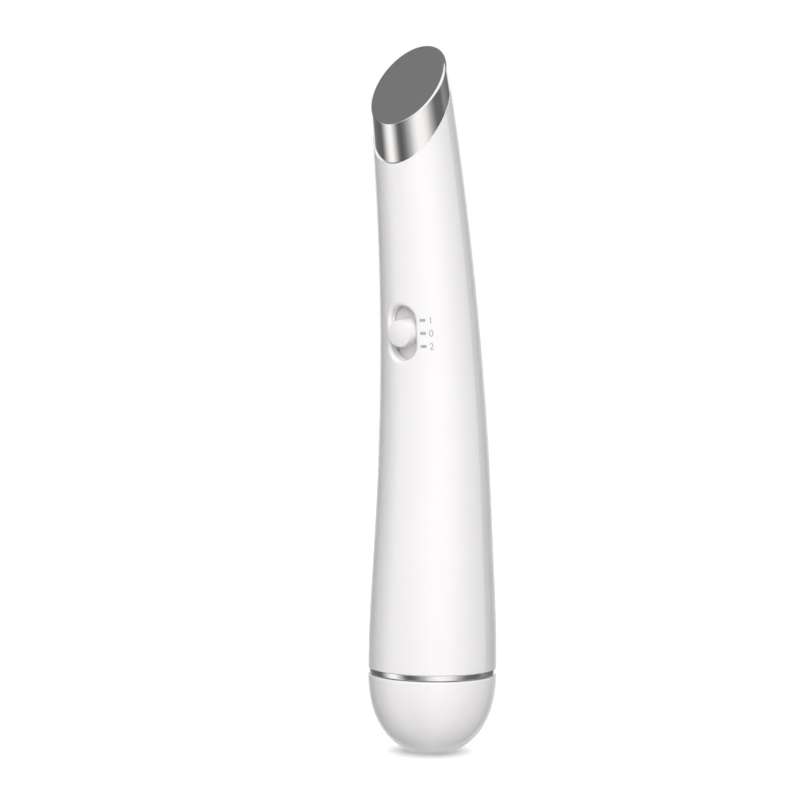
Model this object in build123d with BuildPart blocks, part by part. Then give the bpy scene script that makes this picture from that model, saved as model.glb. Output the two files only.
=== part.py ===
from build123d import *
from math import atan, cos, degrees, radians, sin, tan
import os

# Heated eye massager wand: a white handle that tapers and bows forward, a slanted
# metal massage head on top, a three-position slide switch on the front, and a
# pull-off base cap over one AAA cell. Millimetres. +Z is up along the straight lower
# part of the handle, the front is -Y, and the origin is the middle of the flat foot.
# A "station" is a length measured up the handle's own axis from the foot.

# Fits
touch = 0.04                 # gap left between faces that touch
fit = 0.1                    # loose fit of inner pieces
slide_gap = 0.1              # gap beside pieces that slide
seam_clearance = 0.03        # between the two shells
shaft_running_fit = 0.03
cap_clearance = 0.08         # between the cap's liner and the neck it slides over
rotor_clearance = 0.25
knob_clearance = 0.12        # between the knob and the slot's end

# AAA cell
cell_radius = 5.25
cell_length = 44.5
cell_round = 0.3
nub_radius = 1.9
nub_height = 1.0
nub_round = 0.2
cell_clearance = 0.2

# Cell tube, its neck under the base cap, and the contacts
tube_wall = 1.0
neck_wall = 1.8
neck_depth = 5.0             # how far the neck reaches down into the cap
mouth_depth = 4.2            # how far the cell tube reaches below the ring
seat_height = 4.0            # rim of the tube's flange inside the shells
tube_rib_height = 5.0
rib_width = 1.2
sheet = 0.3                  # thickness of the stamped contact sheets
contact_radius = 3.6
contact_tab_inset = 1.0
contact_tab_width = 1.6
contact_tab_height = 4.0
finger_width = 2.4           # finger that joins the cap's plate to the tube's strip
finger_gap = 0.3
finger_rise = 3.2            # where the finger turns upright, above the liner's floor
finger_drop = 2.4            # top of the finger below the cap's edge
strip_reach = 4.0            # how far the strip stands above the cell tube
oring_section = 1.3
oring_groove = 0.9
oring_drop = 3.2             # middle of the groove below the cap's edge

# Base cap, its liner and the negative spring
cap_height = 15.2
cap_full_depth = 15.9        # the egg's depth if the foot did not cut it flat
cap_roundness = 2.2          # exponent of the egg's outline, 2 is an ellipse
cap_wall = 1.4
cap_edge_round = 0.25
cap_room = 0.83              # between the cap's wall and its liner
boss_radius = 3.0
liner_wall = 0.8
liner_seat = 5.0             # height of the liner's floor above the foot
liner_floor_radius = 6.4
liner_step = 0.3             # the liner's cone starts this far below the neck
spring_wire = 0.6
spring_turns = 3.25
spring_height = 3.8
spring_foot_radius = 4.2
spring_tip_radius = 2.4

# Trim ring
ring_height = 1.3
ring_recess = 0.1
ring_round = 0.12
ring_gap = 0.08              # gap between the closed cap and the trim ring

# Handle
straight_length = 43.9       # the axis is straight up to this station, then an arc
bend_radius = 385.0
shoulder_length = 14.0       # the taper builds up over this length above the ring
shoulder_taper = 0.0535      # radius lost per millimetre where the shoulder ends
neck_taper = 0.036           # radius lost per millimetre at the neck station
neck_station = 126.0
wall = 1.5
lap_height = 0.7             # tongue of the front shell inside the rear shell
lap_width = 0.6
top_round = 0.15             # rounding of the handle's edge under the head
bottom_round = 0.25          # and of its edge over the ring

# Slide switch
switch_station = 82.5
travel = 2.5                 # from the middle to either end
knob_radius = 2.55
knob_draft = 0.05            # how much wider the knob is at its foot
knob_rise = 1.0              # how far the knob stands out of the handle
knob_round = 0.45
knob_skin = 1.8              # thickness of the knob over its post
slot_side_gap = 0.2          # between the knob and the slot's long sides
slot_rim = 0.8               # soft rounding of the slot's outer edge
shutter_depth = 2.7          # from the handle's surface to the shutter
shutter_thickness = 0.8
shutter_side = 0.5           # how far the shutter covers past the slot's sides
shutter_margin = 0.5         # and past its ends, with the knob at either end
shutter_corner = 1.0
pad_rim = 1.0                # width of the flat pad beside the shutter
pad_corner = 1.5
can_height = 3.3
can_width = 5.6
can_length = 9.4
can_sheet = 0.3
can_drop = 0.6               # the switch can lies this far below the shutter
can_base_height = 1.3
actuator_side = 1.6
actuator_foot_length = 3.4
actuator_foot_height = 0.8
pin_radius = 0.3
pin_reach = 1.6
pin_spacing = 2.5

# Circuit board and inner frame
board_width = 10.0
board_length = 32.0
board_thickness = 1.0
board_corner = 0.8
screw_inset = 2.8            # screws from the board's ends
screw_radius = 0.8
screw_head_radius = 1.4
screw_head_height = 0.8
screw_length = 4.0
driver_slot_length = 1.6
driver_slot_width = 0.3
post_wall = 1.2              # of the posts around the screws
frame_depth = 5.4            # from the board's back down to the frame's back
frame_wall = 1.2
frame_side = 0.5             # the frame stands out past the board's sides
frame_end = 1.0              # and past its ends

# Parts soldered to the board
chip_width = 3.9
chip_length = 4.9
chip_height = 1.5
chip_chamfer = 0.2
leg_pitch = 1.27
leg_span = 4.8               # between the middles of the two rows of legs
leg_length = 1.4
leg_width = 0.4
leg_height = 0.25
boost_coil_side = 3.6
boost_coil_height = 2.0
boost_coil_corner = 0.4
capacitor_radius = 1.6
capacitor_height = 2.6
capacitor_round = 0.3
power_gap = 1.0              # from the screw's head to the coil and the capacitor
power_offset = 2.6
resistor_length = 1.6
resistor_width = 0.8
resistor_height = 0.5
resistor_pitch = 3.2
resistor_row = 2.0
resistor_gap = 1.2           # from the other screw's head to the resistors

# Vibration motor
motor_station = 104.0        # back face of the motor can
motor_radius = 3.0
motor_length = 12.0
motor_wall = 0.3
motor_round = 0.4
motor_cap_height = 1.2
motor_tab_spacing = 3.0
motor_tab_width = 1.4
motor_tab_sheet = 0.4
motor_tab_reach = 1.2
boot_wall = 1.1
boot_length = 9.0
holder_wall = 0.9
shaft_radius = 0.5
shaft_out = 4.6
bush_radius = 1.4
bush_length = 1.6
weight_radius = 2.5
weight_length = 3.4
weight_hub = 0.5             # metal of the weight around the shaft

# Massage head
head_station = 129.5         # reference point of the slanted head on the axis
head_step = 0.12             # the head is this much narrower than the handle there
head_flare = 0.17            # how much wider the head is at its open edge
disc_lift = 0.47             # the disc's middle above the reference point
disc_tilt = 53.7             # degrees from level
edge_drop = 5.24             # the open edge's middle below the reference point
edge_tilt = 57.6
head_wall = 0.9
head_rim_round = 0.45
pad_thickness = 0.4
heater_thickness = 0.8
collar_wall = 1.0
collar_length = 9.5
thermistor_radius = 0.7

# Leads; their points are chosen by hand along the free space
wire_radius = 0.45
lead_overlap = 1.4           # how far a lead is soldered along the board
lead_rise = 2.6              # the heater's leads turn off this far above the board
lead_start = 1.0             # the battery's leads start this far above the tube
board_lead_side = 3.4
motor_lead_side = 3.2        # where the heater's leads pass the motor
motor_lead_back = 4.6
heater_lead_bow = 0.5
heater_lead_bend = 1.5       # below the motor's end
heater_lead_turn = 3.0       # above the motor's end
heater_lead_side = 2.6
heater_lead_back = 3.4
heater_lead_gap = 0.6        # from the heater down to the leads' ends
motor_lead_overlap = 0.6
motor_lead_rise = 1.2
battery_lead_side = 2.6
strip_lead_side = 0.6
strip_lead_rise = 5.4
strip_lead_drop = 4.0
contact_lead_bow = 0.4
contact_lead_rise = 4.6
contact_lead_drop = 3.0

# Sizes that follow from the cell outwards
tube_inner = cell_radius + cell_clearance
tube_outer = tube_inner + tube_wall
finger_back = tube_outer + finger_gap + sheet
strip_back = finger_back + touch
neck_inner = strip_back + sheet + 2 * fit
neck_radius = neck_inner + neck_wall
liner_bore = neck_radius + cap_clearance
barrel_radius = liner_bore + liner_wall + cap_room + cap_wall
ring_top = cap_height + ring_height
section_count = 20           # sections that the handle is lofted through
head_reach = 12.0            # the handle is lofted this far past the reference point


def lean(station):
    """Angle of the axis from upright, in radians."""
    return max(station - straight_length, 0) / bend_radius


def axis_point(station):
    """Point of the bowed axis at a station."""
    bend = lean(station)
    rise = min(station, straight_length) + bend_radius * sin(bend)
    return Vector(0, -bend_radius * (1 - cos(bend)), rise)


def across(station):
    """Plane square to the axis: X to the side, Y to the back, Z up the axis."""
    bend = lean(station)
    return Plane(axis_point(station), x_dir=(1, 0, 0), z_dir=(0, -sin(bend), cos(bend)))


def facing(station):
    """Plane through the axis that faces forward: X to the side, Y up, Z to the front."""
    bend = lean(station)
    return Plane(axis_point(station), x_dir=(1, 0, 0), z_dir=(0, -cos(bend), -sin(bend)))


def body_radius(station):
    """Outer radius: a rounded shoulder above the ring, then a taper that eases off."""
    along = max(station - ring_top, 0)
    if along < shoulder_length:
        return barrel_radius - shoulder_taper * along**2 / (2 * shoulder_length)
    past = along - shoulder_length
    ease = (shoulder_taper - neck_taper) / (2 * (neck_station - ring_top - shoulder_length))
    return barrel_radius - shoulder_taper * shoulder_length / 2 - shoulder_taper * past + ease * past**2


def height_over_switch(edge):
    """How far an edge lies in front of the shutter."""
    return switch_plane.to_local_coords(edge.center()).Z - shutter_top


def handle_form(inset, bottom=ring_top, top=head_station + head_reach):
    """Solid of the handle's outline, drawn in by an inset."""
    with BuildPart() as form:
        for index in range(section_count):
            station = bottom + (top - bottom) * index / (section_count - 1)
            with BuildSketch(across(station).rotated((0, 0, 90))):
                Circle(body_radius(station) - inset)
        loft()
    return form.part


def egg(radius, depth):
    """Solid of the base cap's outline, hanging down from the ring."""
    steps = 16
    outline = []
    for step in range(steps + 1):
        drop = depth * sin(radians(90 * step / steps))
        share = max(1 - (drop / depth) ** cap_roundness, 0) ** (1 / cap_roundness)
        outline.append((radius * share, cap_height - drop))
    with BuildPart() as form:
        with BuildSketch(Plane.XZ):
            with BuildLine():
                Spline(*outline, tangents=[(0, -1), (-1, 0)])
                Polyline(outline[-1], (0, cap_height), outline[0])
            make_face()
        revolve(axis=Axis.Z)
    return form.part


head_plane = across(head_station)
head_axis = head_plane.z_dir
head_radius = body_radius(head_station) - head_step
disc_plane = Plane(
    head_plane.origin + head_axis * disc_lift,
    x_dir=(1, 0, 0),
    z_dir=(0, -sin(radians(disc_tilt)), cos(radians(disc_tilt))),
)
edge_plane = Plane(
    head_plane.origin - head_axis * edge_drop,
    x_dir=(1, 0, 0),
    z_dir=(0, -sin(radians(edge_tilt)), cos(radians(edge_tilt))),
)
switch_plane = facing(switch_station)
switch_surface = body_radius(switch_station)
os.makedirs("parts", exist_ok=True)

# ---------------------------------------------------------------- handle shells
# The space inside the handle, with a flat pad left standing behind the switch slot.
shutter_top = switch_surface - shutter_depth
knob_foot_radius = knob_radius + knob_draft
slot_length = 2 * (knob_foot_radius + travel + knob_clearance)
slot_width = 2 * (knob_foot_radius + slot_side_gap)
shutter_length = slot_length + 2 * (travel + shutter_margin)
shutter_width = slot_width + 2 * shutter_side
pad_width = shutter_width + 2 * pad_rim
pocket_length = shutter_length + 2 * (travel + slide_gap)

cavity_form = handle_form(wall)
fit_space = handle_form(wall + fit)
with BuildPart() as cavity:
    add(cavity_form)
    with BuildSketch(switch_plane.offset(shutter_top + slide_gap)):
        RectangleRounded(pad_width, pocket_length + 2 * wall, pad_corner)
    extrude(amount=switch_surface, mode=Mode.SUBTRACT)
    with BuildSketch(switch_plane.offset(shutter_top - shutter_thickness - wall)):
        RectangleRounded(shutter_width + 2 * slide_gap, pocket_length, shutter_corner)
    extrude(amount=shutter_thickness + wall + slide_gap)

with BuildPart() as handle:
    add(handle_form(0))
    split(bisect_by=edge_plane, keep=Keep.BOTTOM)
    fillet(handle.edges().group_by(Axis.Z)[-1], top_round)
    fillet(handle.edges().group_by(Axis.Z)[0], bottom_round)
    add(cavity.part, mode=Mode.SUBTRACT)

# The halves meet on the surface that the axis sweeps sideways. A tongue on the front
# shell laps inside the rear one.
reach = head_station + head_reach
with BuildPart() as front_half:
    with BuildSketch(Plane.YZ):
        with BuildLine():
            low = (0, 0)
            knee = (0, straight_length)
            crown = axis_point(reach)
            side = -bend_radius * (1 - cos(lean(reach) / 2))
            middle = axis_point((straight_length + reach) / 2)
            Line(low, knee)
            ThreePointArc(knee, (middle.Y, middle.Z), (crown.Y, crown.Z))
            Polyline((crown.Y, crown.Z), (-bend_radius / 8, crown.Z), (-bend_radius / 8, 0), low)
        make_face()
    extrude(amount=2 * barrel_radius, both=True)

tongue_form = handle_form(wall - lap_width)
with BuildPart() as front_side:
    add(tongue_form)
    add(front_half.part.moved(Location((0, lap_height, 0))), mode=Mode.INTERSECT)
    add(front_half.part)

with BuildPart() as front_shell:
    add(handle.part)
    add(front_side.part, mode=Mode.INTERSECT)
    with BuildSketch(switch_plane.offset(shutter_top)):
        SlotOverall(slot_length, slot_width, rotation=90)
    extrude(amount=switch_surface, mode=Mode.SUBTRACT)
    slot_edges = front_shell.edges(Select.LAST)
    fillet(slot_edges.filter_by(lambda edge: height_over_switch(edge) > shutter_depth / 2), slot_rim)
front_shell.part.label = "front_shell"
export_step(front_shell.part, "parts/front_shell.step")

groove_form = handle_form(wall - lap_width - seam_clearance)
with BuildPart() as groove:
    add(groove_form)
    add(front_half.part.moved(Location((0, lap_height + seam_clearance, 0))), mode=Mode.INTERSECT)

with BuildPart() as rear_shell:
    add(handle.part)
    add(front_half.part.moved(Location((0, seam_clearance, 0))), mode=Mode.SUBTRACT)
    add(groove.part, mode=Mode.SUBTRACT)
rear_shell.part.label = "rear_shell"
export_step(rear_shell.part, "parts/rear_shell.step")

# ------------------------------------------------------------------ massage head
def head_slice(radius, high, low):
    """Slice of a round bar on the head's axis, between two depths under the disc."""
    with BuildPart() as slice_form:
        with BuildSketch(head_plane.offset(-2 * radius)):
            Circle(radius)
        extrude(amount=4 * radius)
        split(bisect_by=disc_plane.offset(-high), keep=Keep.BOTTOM)
        split(bisect_by=disc_plane.offset(-low), keep=Keep.TOP)
    return slice_form.part


head_tall = 2 * head_radius
flare_slope = head_flare / (edge_drop + disc_lift)
with BuildPart() as head_cavity:
    with BuildSketch(head_plane.offset(-head_tall)):
        Circle(head_radius + flare_slope * head_tall - head_wall)
    with BuildSketch(head_plane.offset(head_tall)):
        Circle(head_radius - flare_slope * head_tall - head_wall)
    loft()
    split(bisect_by=disc_plane.offset(-head_wall), keep=Keep.BOTTOM)

with BuildPart() as massage_head:
    with BuildSketch(head_plane.offset(-head_tall)):
        Circle(head_radius + flare_slope * head_tall)
    with BuildSketch(head_plane.offset(head_tall)):
        Circle(head_radius - flare_slope * head_tall)
    loft()
    split(bisect_by=disc_plane, keep=Keep.BOTTOM)
    fillet(massage_head.edges().group_by(Axis.Z)[-1], head_rim_round)
    split(bisect_by=edge_plane, keep=Keep.TOP)
    add(head_cavity.part, mode=Mode.SUBTRACT)
massage_head.part.label = "massage_head"
export_step(massage_head.part, "parts/massage_head.step")

# The pad and the heater lie against the back of the disc, on top of the collar.
bore_radius = head_radius - head_wall - head_flare
pad_high = head_wall + touch / 2
with BuildPart() as thermal_pad:
    add(head_slice(bore_radius - fit, pad_high, pad_high + pad_thickness))
thermal_pad.part.label = "thermal_pad"
export_step(thermal_pad.part, "parts/thermal_pad.step")

heater_high = pad_high + pad_thickness + touch / 2
heater_low = heater_high + heater_thickness
with BuildPart() as heater_plate:
    add(head_slice(bore_radius - fit, heater_high, heater_low))
heater_plate.part.label = "heater_plate"
export_step(heater_plate.part, "parts/heater_plate.step")

# The collar is a heat-proof sleeve: its upper end fills the head and rests on the
# shells' rim, its lower end plugs into the shells.
collar_bore = body_radius(head_station) - wall - fit - collar_wall
with BuildPart() as collar_crown:
    add(head_slice(bore_radius - fit, heater_low + touch, head_tall))
    split(bisect_by=edge_plane.offset(touch), keep=Keep.TOP)

with BuildPart() as head_collar:
    with BuildSketch(head_plane.offset(-collar_length)):
        Circle(bore_radius)
    extrude(amount=collar_length + head_tall)
    split(bisect_by=disc_plane.offset(-heater_low - touch), keep=Keep.BOTTOM)
    add(fit_space, mode=Mode.INTERSECT)
    add(collar_crown.part)
    with BuildSketch(head_plane.offset(-collar_length)):
        Circle(collar_bore)
    extrude(amount=collar_length + 2 * head_tall, mode=Mode.SUBTRACT)
head_collar.part.label = "head_collar"
export_step(head_collar.part, "parts/head_collar.step")

with BuildPart() as thermistor:
    with Locations(disc_plane.offset(-heater_low - thermistor_radius - touch)):
        Sphere(thermistor_radius)
thermistor.part.label = "thermistor"
export_step(thermistor.part, "parts/thermistor.step")

# -------------------------------------------------------------- vibration motor
motor_plane = across(motor_station)
motor_front = motor_plane.offset(motor_length)
with BuildPart() as motor_can:
    with BuildSketch(motor_plane):
        Circle(motor_radius)
    extrude(amount=motor_length)
    fillet(motor_can.edges().group_by(Axis.Z)[-1], motor_round)
    with BuildSketch(motor_plane):
        Circle(motor_radius - motor_wall)
    extrude(amount=motor_length - motor_wall, mode=Mode.SUBTRACT)
    with BuildSketch(motor_plane):
        Circle(bush_radius + shaft_running_fit)
    extrude(amount=motor_length, mode=Mode.SUBTRACT)
motor_can.part.label = "motor_can"
export_step(motor_can.part, "parts/motor_can.step")

with BuildPart() as motor_bush:
    with BuildSketch(motor_front.offset(-bush_length)):
        Circle(bush_radius)
        Circle(shaft_radius + shaft_running_fit, mode=Mode.SUBTRACT)
    extrude(amount=bush_length)
motor_bush.part.label = "motor_bush"
export_step(motor_bush.part, "parts/motor_bush.step")

tab_places = [(-motor_tab_spacing / 2, 0), (motor_tab_spacing / 2, 0)]
with BuildPart() as motor_end_cap:
    with BuildSketch(motor_plane):
        Circle(motor_radius - motor_wall - touch)
        Circle(shaft_radius + shaft_running_fit, mode=Mode.SUBTRACT)
    extrude(amount=motor_cap_height)
    with BuildSketch(motor_plane):
        with Locations(*tab_places):
            Rectangle(motor_tab_sheet, motor_tab_width)
    extrude(amount=-motor_tab_reach)
motor_end_cap.part.label = "motor_end_cap"
export_step(motor_end_cap.part, "parts/motor_end_cap.step")

# The rotor is one body: its shaft, and the winding as a plain drum around it.
with BuildPart() as motor_rotor:
    with BuildSketch(motor_plane.offset(touch)):
        Circle(shaft_radius)
    extrude(amount=motor_length + shaft_out - touch)
    with BuildSketch(motor_plane.offset(motor_cap_height + rotor_clearance)):
        Circle(motor_radius - motor_wall - rotor_clearance)
    extrude(amount=motor_length - motor_cap_height - bush_length - 2 * rotor_clearance)
motor_rotor.part.label = "motor_rotor"
export_step(motor_rotor.part, "parts/motor_rotor.step")

hub_reach = shaft_radius + weight_hub
with BuildPart() as eccentric_weight:
    with BuildSketch(motor_front.offset(shaft_out - weight_length)):
        with BuildLine():
            CenterArc((0, 0), weight_radius, 180, 180)
            Polyline((weight_radius, 0), (hub_reach, hub_reach), (-hub_reach, hub_reach), (-weight_radius, 0))
        make_face()
        Circle(shaft_radius, mode=Mode.SUBTRACT)
    extrude(amount=weight_length)
eccentric_weight.part.label = "eccentric_weight"
export_step(eccentric_weight.part, "parts/eccentric_weight.step")

boot_start = (motor_length - boot_length) / 2
with BuildPart() as motor_boot:
    with BuildSketch(motor_plane.offset(boot_start)):
        Circle(motor_radius + boot_wall)
        Circle(motor_radius, mode=Mode.SUBTRACT)
    extrude(amount=boot_length)
motor_boot.part.label = "motor_boot"
export_step(motor_boot.part, "parts/motor_boot.step")

# The holder is a ring with four ribs that end just inside the shells' own curve.
holder_radius = motor_radius + boot_wall + holder_wall
with BuildPart() as motor_holder:
    with BuildSketch(motor_plane.offset(boot_start)):
        Circle(holder_radius)
        with PolarLocations(0, 4):
            Rectangle(barrel_radius, rib_width, align=(Align.MIN, Align.CENTER))
    extrude(amount=boot_length)
    add(fit_space, mode=Mode.INTERSECT)
    with BuildSketch(motor_plane.offset(boot_start)):
        Circle(holder_radius - holder_wall)
    extrude(amount=boot_length, mode=Mode.SUBTRACT)
motor_holder.part.label = "motor_holder"
export_step(motor_holder.part, "parts/motor_holder.step")

# ------------------------------------------------- circuit board and slide switch
board_front = shutter_top - shutter_thickness - can_drop - can_height
board_back = board_front - board_thickness
screw_offset = board_length / 2 - screw_inset
screw_places = [(0, -screw_offset), (0, screw_offset)]
pin_places = [(0, pin_spacing * (index - 1.5)) for index in range(4)]
with BuildPart() as circuit_board:
    with BuildSketch(switch_plane.offset(board_back)):
        RectangleRounded(board_width, board_length, board_corner)
        with Locations(*screw_places):
            Circle(screw_radius + fit, mode=Mode.SUBTRACT)
        with Locations(*pin_places):
            Circle(pin_radius + fit, mode=Mode.SUBTRACT)
    extrude(amount=board_thickness)
circuit_board.part.label = "circuit_board"
export_step(circuit_board.part, "parts/circuit_board.step")

can_bore_width = can_width - 2 * can_sheet
can_bore_length = can_length - 2 * can_sheet
with BuildPart() as switch_base:
    with BuildSketch(switch_plane.offset(board_front)):
        Rectangle(can_bore_width - touch, can_bore_length - touch)
    extrude(amount=can_base_height)
switch_base.part.label = "switch_base"
export_step(switch_base.part, "parts/switch_base.step")

with BuildPart() as switch_terminals:
    with BuildSketch(switch_plane.offset(board_front)):
        with Locations(*pin_places):
            Circle(pin_radius)
    extrude(amount=-pin_reach)
switch_terminals.part.label = "switch_terminals"
export_step(switch_terminals.part, "parts/switch_terminals.step")

with BuildPart() as switch_can:
    with BuildSketch(switch_plane.offset(board_front)):
        Rectangle(can_width, can_length)
    extrude(amount=can_height)
    with BuildSketch(switch_plane.offset(board_front)):
        Rectangle(can_bore_width, can_bore_length)
    extrude(amount=can_height - can_sheet, mode=Mode.SUBTRACT)
    with BuildSketch(switch_plane.offset(board_front)):
        Rectangle(actuator_side + 4 * slide_gap, actuator_side + 2 * travel + 4 * slide_gap)
    extrude(amount=can_height, mode=Mode.SUBTRACT)
switch_can.part.label = "switch_can"
export_step(switch_can.part, "parts/switch_can.step")

actuator_low = board_front + can_base_height + slide_gap
actuator_high = switch_surface + knob_rise - knob_skin
with BuildPart() as switch_actuator:
    with BuildSketch(switch_plane.offset(actuator_low)):
        Rectangle(can_bore_width - 4 * slide_gap, actuator_foot_length)
    extrude(amount=actuator_foot_height)
    with BuildSketch(switch_plane.offset(actuator_low)):
        Rectangle(actuator_side, actuator_side)
    extrude(amount=actuator_high - actuator_low)
switch_actuator.part.label = "switch_actuator"
export_step(switch_actuator.part, "parts/switch_actuator.step")

with BuildPart() as shutter_plate:
    with BuildSketch(switch_plane.offset(shutter_top - shutter_thickness)):
        RectangleRounded(shutter_width, shutter_length, shutter_corner)
        Rectangle(actuator_side + touch, actuator_side + touch, mode=Mode.SUBTRACT)
    extrude(amount=shutter_thickness)
shutter_plate.part.label = "shutter_plate"
export_step(shutter_plate.part, "parts/shutter_plate.step")

knob_height = switch_surface + knob_rise - shutter_top
with BuildPart() as switch_knob:
    with BuildSketch(switch_plane.offset(shutter_top)):
        Circle(knob_foot_radius)
    with BuildSketch(switch_plane.offset(shutter_top + knob_height)):
        Circle(knob_radius)
    loft()
    fillet(switch_knob.edges().sort_by(Axis.Y)[0], knob_round)
    with BuildSketch(switch_plane.offset(shutter_top)):
        Rectangle(actuator_side + touch, actuator_side + touch)
    extrude(amount=actuator_high - shutter_top + touch, mode=Mode.SUBTRACT)
switch_knob.part.label = "switch_knob"
export_step(switch_knob.part, "parts/switch_knob.step")

# Parts soldered to the board. The chip is on its back, midway between the switch's last
# pin and the frame's post, and its legs are drawn as bars that run through under it. The
# others are on its front, next to the screws.
head_edge = screw_offset - screw_head_radius
post_edge = screw_offset - screw_radius - post_wall
pin_edge = pin_places[-1][1] + pin_radius
chip_place = -(post_edge + pin_edge) / 2
power_place = boost_coil_side / 2 + power_gap - head_edge
resistor_place = head_edge - resistor_gap - (resistor_row + resistor_width) / 2
with BuildPart() as driver_chip:
    with BuildSketch(switch_plane.offset(board_back)):
        with Locations((0, chip_place)):
            Rectangle(chip_width, chip_length)
    extrude(amount=-chip_height)
    chamfer(driver_chip.edges().group_by(Axis.Y)[-1], chip_chamfer)
    with BuildSketch(switch_plane.offset(board_back)):
        with Locations((0, chip_place)):
            with GridLocations(0, leg_pitch, 1, 4):
                Rectangle(leg_span + leg_length, leg_width)
    extrude(amount=-leg_height)
driver_chip.part.label = "driver_chip"
export_step(driver_chip.part, "parts/driver_chip.step")

with BuildPart() as boost_coil:
    with BuildSketch(switch_plane.offset(board_front)):
        with Locations((-power_offset, power_place)):
            RectangleRounded(boost_coil_side, boost_coil_side, boost_coil_corner)
    extrude(amount=boost_coil_height)
boost_coil.part.label = "boost_coil"
export_step(boost_coil.part, "parts/boost_coil.step")

with BuildPart() as capacitor:
    with BuildSketch(switch_plane.offset(board_front)):
        with Locations((power_offset, power_place)):
            Circle(capacitor_radius)
    extrude(amount=capacitor_height)
    fillet(capacitor.edges().group_by(Axis.Y)[0], capacitor_round)
capacitor.part.label = "capacitor"
export_step(capacitor.part, "parts/capacitor.step")

with BuildPart() as resistors:
    with BuildSketch(switch_plane.offset(board_front)):
        with Locations((0, resistor_place)):
            with GridLocations(resistor_pitch, resistor_row, 3, 2):
                Rectangle(resistor_length, resistor_width)
    extrude(amount=resistor_height)
resistors.part.label = "resistors"
export_step(resistors.part, "parts/resistors.step")

with BuildPart() as board_screws:
    with BuildSketch(switch_plane.offset(board_front)):
        with Locations(*screw_places):
            Circle(screw_head_radius)
    extrude(amount=screw_head_height)
    with BuildSketch(switch_plane.offset(board_front)):
        with Locations(*screw_places):
            Circle(screw_radius)
    extrude(amount=-screw_length)
    with BuildSketch(switch_plane.offset(board_front + screw_head_height)):
        with Locations(*screw_places):
            Rectangle(driver_slot_length, driver_slot_width)
            Rectangle(driver_slot_width, driver_slot_length)
    extrude(amount=-screw_head_height / 2, mode=Mode.SUBTRACT)
board_screws.part.label = "board_screws"
export_step(board_screws.part, "parts/board_screws.step")

# The frame is a trough behind the board, with a post under each screw and end walls
# that reach out to the shells.
frame_width = board_width + 2 * frame_side
frame_length = board_length + 2 * frame_end
frame_back = board_back - frame_depth
with BuildPart() as inner_frame:
    with BuildSketch(switch_plane.offset(frame_back)):
        Rectangle(frame_width, frame_length)
    extrude(amount=frame_depth)
    with BuildSketch(switch_plane.offset(frame_back + frame_wall)):
        Rectangle(frame_width - 2 * frame_wall, 2 * frame_length)
    extrude(amount=frame_depth, mode=Mode.SUBTRACT)
    with BuildSketch(switch_plane.offset(frame_back)):
        with Locations(*screw_places):
            Circle(screw_radius + post_wall)
    extrude(amount=frame_depth)
    with BuildSketch(switch_plane.offset(board_back)):
        with Locations(*screw_places):
            Rectangle(2 * barrel_radius, frame_wall)
    extrude(amount=-barrel_radius)
    with BuildSketch(switch_plane.offset(board_back)):
        with Locations(*screw_places):
            Circle(screw_radius)
    extrude(amount=-screw_length, mode=Mode.SUBTRACT)
    add(fit_space, mode=Mode.INTERSECT)
inner_frame.part.label = "inner_frame"
export_step(inner_frame.part, "parts/inner_frame.step")

# ------------------------------------------------------- base cap and cell tube
with BuildPart() as base_cap:
    add(egg(barrel_radius, cap_full_depth))
    fillet(base_cap.edges().group_by(Axis.Z)[-1], cap_edge_round)
    split(bisect_by=Plane.XY, keep=Keep.TOP)
    add(egg(barrel_radius - cap_wall, cap_height - cap_wall), mode=Mode.SUBTRACT)
    with BuildSketch(Plane.XY.offset(cap_wall / 2)):
        Circle(boss_radius)
    extrude(amount=liner_seat - liner_wall - touch - cap_wall / 2)
base_cap.part.label = "base_cap"
export_step(base_cap.part, "parts/base_cap.step")

# The liner is a cup inside the cap: its bore slides over the neck of the cell tube.
liner_top = cap_height - fit
liner_mouth = cap_height - neck_depth - liner_step
liner_flange = barrel_radius - cap_wall - touch
liner_outer = liner_bore + liner_wall
with BuildPart() as cap_liner:
    with BuildSketch(Plane.XZ):
        with BuildLine():
            Polyline(
                (0, liner_seat - liner_wall),
                (liner_floor_radius + liner_wall / 2, liner_seat - liner_wall),
                (liner_outer, liner_mouth),
                (liner_outer, liner_top - liner_wall),
                (liner_flange, liner_top - liner_wall),
                (liner_flange, liner_top),
                (liner_bore, liner_top),
                (liner_bore, liner_mouth),
                (liner_floor_radius, liner_seat),
                (0, liner_seat),
                (0, liner_seat - liner_wall),
            )
        make_face()
    revolve(axis=Axis.Z)
cap_liner.part.label = "cap_liner"
export_step(cap_liner.part, "parts/cap_liner.step")

# Negative side: a plate with an upright finger, and a tapered coil that presses
# on the cell. The finger touches the strip that runs up beside the cell tube.
finger_top = cap_height - finger_drop
finger_knee = liner_seat + finger_rise
plate_radius = liner_floor_radius - fit
with BuildPart() as spring_plate:
    with BuildSketch(Plane.XY.offset(liner_seat)):
        Circle(plate_radius)
    extrude(amount=sheet)
    with BuildSketch(Plane.YZ):
        with BuildLine():
            Polyline(
                (plate_radius - 2 * sheet, liner_seat),
                (plate_radius, liner_seat),
                (finger_back, finger_knee),
                (finger_back, finger_top),
                (finger_back - sheet, finger_top),
                (finger_back - sheet, finger_knee),
                (plate_radius - sheet, liner_seat + sheet),
                (plate_radius - 2 * sheet, liner_seat + sheet),
                (plate_radius - 2 * sheet, liner_seat),
            )
        make_face()
    extrude(amount=finger_width / 2, both=True)
spring_plate.part.label = "spring_plate"
export_step(spring_plate.part, "parts/spring_plate.step")

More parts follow.
